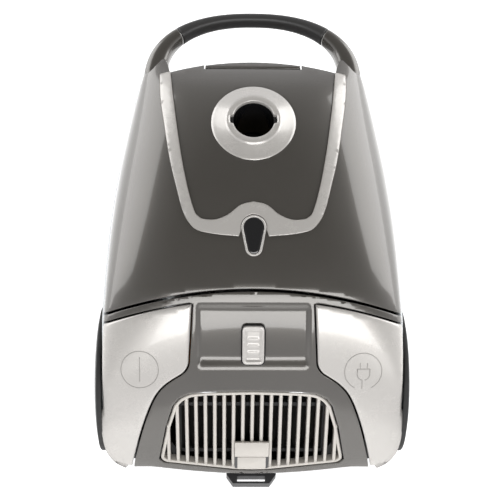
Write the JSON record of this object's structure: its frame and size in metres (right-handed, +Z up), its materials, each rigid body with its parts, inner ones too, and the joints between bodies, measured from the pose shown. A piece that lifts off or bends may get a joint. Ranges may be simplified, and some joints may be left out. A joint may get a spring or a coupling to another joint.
{
  "type": "canister vacuum cleaner",
  "caption": "Grey canister vacuum cleaner with silver foot pedals, U-shaped trim, round hose inlet, exhaust grille, carrying handle, two large wheels and a front caster.",
  "frame": {"origin": "centre of the footprint box on the floor", "axes": "+Y forward towards the carrying handle, +X to the right of the direction of travel, +Z up"},
  "size_m": [0.286, 0.41, 0.226],
  "materials": {
    "base_shell": "moulded",
    "bumper_strip": "silver lacquer",
    "rear_cover": "glossy",
    "bulkhead": "moulded",
    "motor_filter": "paper or fleece",
    "fan_shroud": "steel",
    "motor_stator": "steel",
    "motor_mounts": "soft",
    "brush_holders": "moulded",
    "motor_bearings": "steel",
    "reel_axle": "steel",
    "reel_bracket": "moulded",
    "reel_spring": "moulded",
    "control_board": "glossy",
    "power_switch": "moulded",
    "slider_pot": "moulded",
    "pedal_springs": "steel",
    "housing_screws": "steel",
    "cord_outlet": "moulded",
    "hepa_frame": "moulded",
    "hepa_media": "paper or fleece",
    "wheel_axles": "steel",
    "wheel_bushes": "moulded",
    "caster_socket": "moulded",
    "dust_bag": "paper or fleece",
    "bag_collar": "paper or fleece",
    "bag_holder": "moulded",
    "inlet_seal": "soft",
    "lid_catch": "moulded",
    "hinge_pins": "steel",
    "parking_bracket": "moulded",
    "lid_shell": "glossy",
    "lid_trim": "silver lacquer",
    "lid_hinge": "moulded",
    "hose_collar": "silver lacquer",
    "inlet_tube": "moulded",
    "indicator_bezel": "silver lacquer",
    "indicator_lens": "glossy",
    "handle_grip": "moulded",
    "latch_spring": "steel",
    "lid_latch": "glossy",
    "indicator_flag": "glossy",
    "armature": "steel",
    "impeller": "pressed",
    "cord_reel": "moulded",
    "brake_lever": "moulded",
    "power_pedal": "silver lacquer",
    "switch_plunger": "moulded",
    "rewind_pedal": "silver lacquer",
    "suction_slider": "silver lacquer",
    "exhaust_grille": "silver lacquer",
    "grille_pins": "steel",
    "grille_latch": "silver lacquer",
    "wheel_left": "glossy",
    "tyre_left": "soft",
    "wheel_right": "glossy",
    "tyre_right": "soft",
    "caster_fork": "moulded",
    "caster_axle": "steel",
    "caster_wheel": "glossy"
  },
  "bodies": {
    "root": {"base_shell": "base_shell", "bumper_strip": "bumper_strip", "rear_cover": "rear_cover", "bulkhead": "bulkhead", "motor_filter": "motor_filter", "fan_shroud": "fan_shroud", "motor_stator": "motor_stator", "motor_mounts": "motor_mounts", "brush_holders": "brush_holders", "motor_bearings": "motor_bearings", "reel_axle": "reel_axle", "reel_bracket": "reel_bracket", "reel_spring": "reel_spring", "control_board": "control_board", "power_switch": "power_switch", "slider_pot": "slider_pot", "pedal_springs": "pedal_springs", "housing_screws": "housing_screws", "cord_outlet": "cord_outlet", "hepa_frame": "hepa_frame", "hepa_media": "hepa_media", "wheel_axles": "wheel_axles", "wheel_bushes": "wheel_bushes", "caster_socket": "caster_socket", "dust_bag": "dust_bag", "bag_collar": "bag_collar", "bag_holder": "bag_holder", "inlet_seal": "inlet_seal", "lid_catch": "lid_catch", "hinge_pins": "hinge_pins", "parking_bracket": "parking_bracket"},
    "lid": {"lid_shell": "lid_shell", "lid_trim": "lid_trim", "lid_hinge": "lid_hinge", "hose_collar": "hose_collar", "inlet_tube": "inlet_tube", "indicator_bezel": "indicator_bezel", "indicator_lens": "indicator_lens", "handle_grip": "handle_grip", "latch_spring": "latch_spring"},
    "latch": {"lid_latch": "lid_latch"},
    "flag": {"indicator_flag": "indicator_flag"},
    "rotor": {"armature": "armature", "impeller": "impeller"},
    "reel": {"cord_reel": "cord_reel"},
    "brake": {"brake_lever": "brake_lever"},
    "power_key": {"power_pedal": "power_pedal"},
    "plunger": {"switch_plunger": "switch_plunger"},
    "rewind_key": {"rewind_pedal": "rewind_pedal"},
    "slider": {"suction_slider": "suction_slider"},
    "grille": {"exhaust_grille": "exhaust_grille", "grille_pins": "grille_pins"},
    "grille_catch": {"grille_latch": "grille_latch"},
    "left_wheel": {"wheel_left": "wheel_left", "tyre_left": "tyre_left"},
    "right_wheel": {"wheel_right": "wheel_right", "tyre_right": "tyre_right"},
    "caster": {"caster_fork": "caster_fork", "caster_axle": "caster_axle"},
    "caster_roll": {"caster_wheel": "caster_wheel"}
  },
  "joints": [
    {"name": "lid_hinge", "type": "hinge", "parent": "root", "child": "lid", "pos_m": [0, -0.066, 0.188], "axis": [1, 0, 0], "range_deg": [0, 60]},
    {"name": "latch_lever", "type": "hinge", "parent": "lid", "child": "latch", "pos_m": [0, 0.14377, 0.20009], "axis": [1, 0, 0], "range_deg": [0, 5], "stiffness_Nm_per_rad": 0.6},
    {"name": "bag_full_flag", "type": "slide", "parent": "lid", "child": "flag", "axis": [0, 0.9455, 0.3256], "range_m": [0, 0.006], "stiffness_N_per_m": 20},
    {"name": "rotor_spin", "type": "hinge", "parent": "root", "child": "rotor", "pos_m": [-0.044, -0.09, 0.0824], "axis": [0, 1, 0], "continuous": true},
    {"name": "reel_spin", "type": "hinge", "parent": "root", "child": "reel", "pos_m": [0.058, -0.094, 0.0694], "axis": [1, 0, 0], "continuous": true},
    {"name": "power_press", "type": "slide", "parent": "root", "child": "power_key", "axis": [0, 0.4226, -0.9063], "range_m": [0, 0.0035], "stiffness_N_per_m": 800},
    {"name": "plunger_travel", "type": "slide", "parent": "root", "child": "plunger", "axis": [0, 0.4226, -0.9063], "range_m": [0, 0.0035]},
    {"name": "rewind_press", "type": "slide", "parent": "root", "child": "rewind_key", "axis": [0, 0.4226, -0.9063], "range_m": [0, 0.0035], "stiffness_N_per_m": 800},
    {"name": "brake_release", "type": "hinge", "parent": "root", "child": "brake", "pos_m": [0.0985, -0.1016, 0.12536], "axis": [1, 0, 0], "range_deg": [0, 8]},
    {"name": "suction_setting", "type": "slide", "parent": "root", "child": "slider", "axis": [0, 0.755, 0.6557], "range_m": [-0.0038, 0.0165]},
    {"name": "grille_flap", "type": "hinge", "parent": "root", "child": "grille", "pos_m": [0, -0.1466, 0.12463], "axis": [-1, 0, 0], "range_deg": [0, 30]},
    {"name": "grille_catch_slide", "type": "slide", "parent": "grille", "child": "grille_catch", "axis": [0, 0.506, 0.8625], "range_m": [0, 0.003], "stiffness_N_per_m": 300},
    {"name": "left_wheel_spin", "type": "hinge", "parent": "root", "child": "left_wheel", "pos_m": [-0.128, -0.113, 0.067], "axis": [1, 0, 0], "continuous": true},
    {"name": "right_wheel_spin", "type": "hinge", "parent": "root", "child": "right_wheel", "pos_m": [0.128, -0.113, 0.067], "axis": [1, 0, 0], "continuous": true},
    {"name": "caster_swivel", "type": "hinge", "parent": "root", "child": "caster", "pos_m": [0, 0.116, 0.043], "axis": [0, 0, 1], "continuous": true},
    {"name": "caster_roll_spin", "type": "hinge", "parent": "caster", "child": "caster_roll", "pos_m": [0, 0.104, 0.018], "axis": [1, 0, 0], "continuous": true}
  ],
  "couplings": [
    {"joint": "plunger_travel", "follows": "power_press", "ratio": 1},
    {"joint": "brake_release", "follows": "rewind_press", "rad_per_m": 35}
  ]
}
